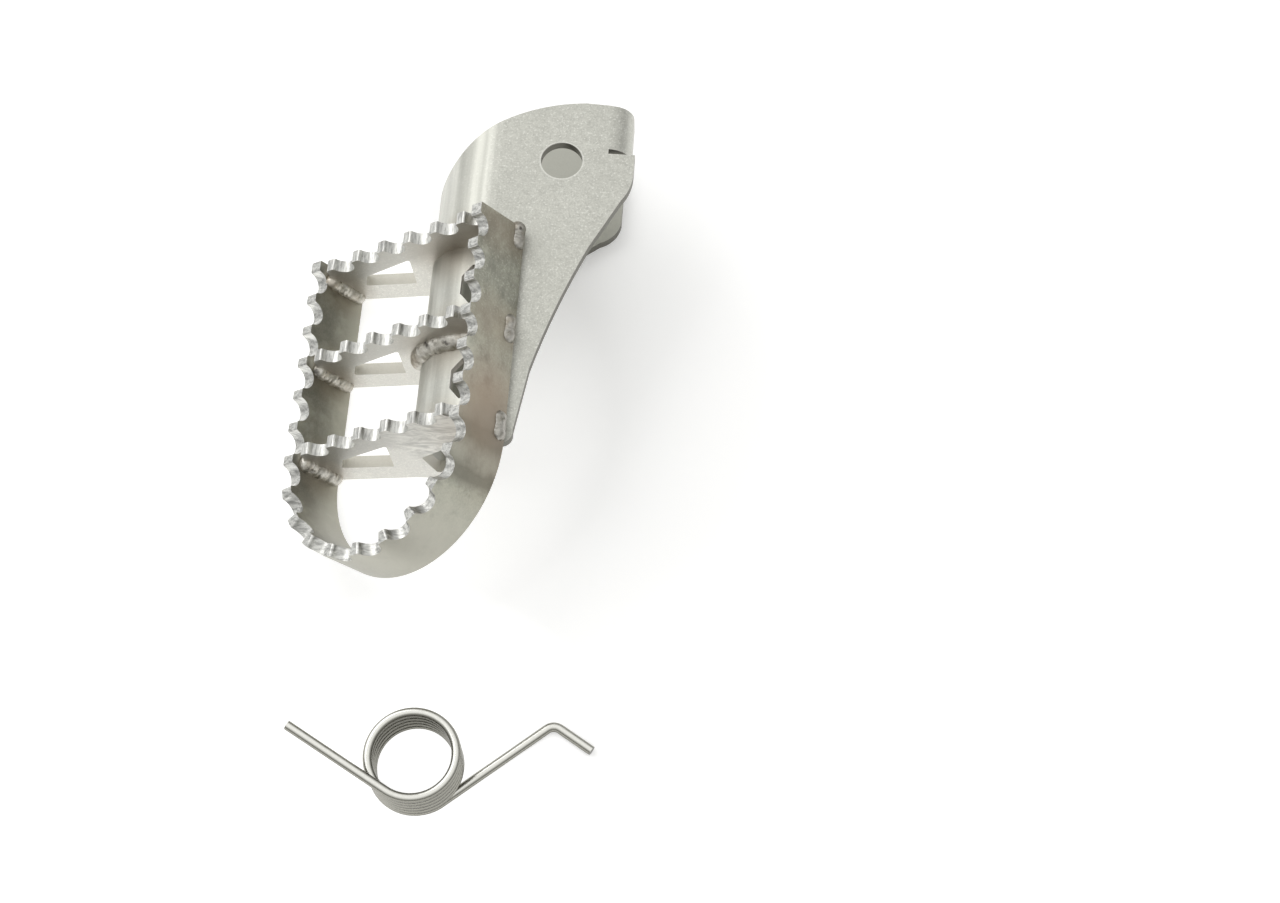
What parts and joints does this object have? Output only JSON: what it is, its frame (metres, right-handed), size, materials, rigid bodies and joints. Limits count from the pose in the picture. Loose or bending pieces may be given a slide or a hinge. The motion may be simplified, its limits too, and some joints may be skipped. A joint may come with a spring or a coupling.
{
  "type": "foot peg",
  "caption": "Folding foot peg: folded clevis bracket with pin bores and stop tab, toothed U-shaped rail and toothed cross bars welded on, with a separate torsion return spring.",
  "frame": {"origin": "on the pivot pin's axis at the underside of the lower ear, with the peg lying on its lower ear and the rail's left edge", "axes": "+Z along the pivot pin's axis out of the upper ear, +Y inboard towards the machine, so the tread points along -Y"},
  "size_m": [0.0778, 0.1792, 0.0464],
  "materials": {
    "bracket_steel": "satin rolled stainless sheet",
    "tread_steel": "satin stainless strip, cut edges bright",
    "weld_steel": "rippled weld bead",
    "spring_steel": "drawn stainless wire"
  },
  "bodies": {
    "spring": {"return_spring": "spring_steel"},
    "peg": {"bracket": "bracket_steel", "rail": "tread_steel", "cross_bar_1": "tread_steel", "cross_bar_2": "tread_steel", "cross_bar_3": "tread_steel", "weld_bar_1_left": "weld_steel", "weld_bar_1_right": "weld_steel", "weld_bar_2_left": "weld_steel", "weld_bar_2_right": "weld_steel", "weld_bar_3_left": "weld_steel", "weld_bar_3_right": "weld_steel", "weld_plate_1": "weld_steel", "weld_plate_2": "weld_steel", "weld_plate_3": "weld_steel", "weld_bar_2_channel": "weld_steel"}
  },
  "joints": [
    {"name": "fold", "type": "hinge", "parent": "spring", "child": "peg", "pos_m": [0, 0, 0], "axis": [0, 0, -1], "range_deg": [0, 75]}
  ]
}
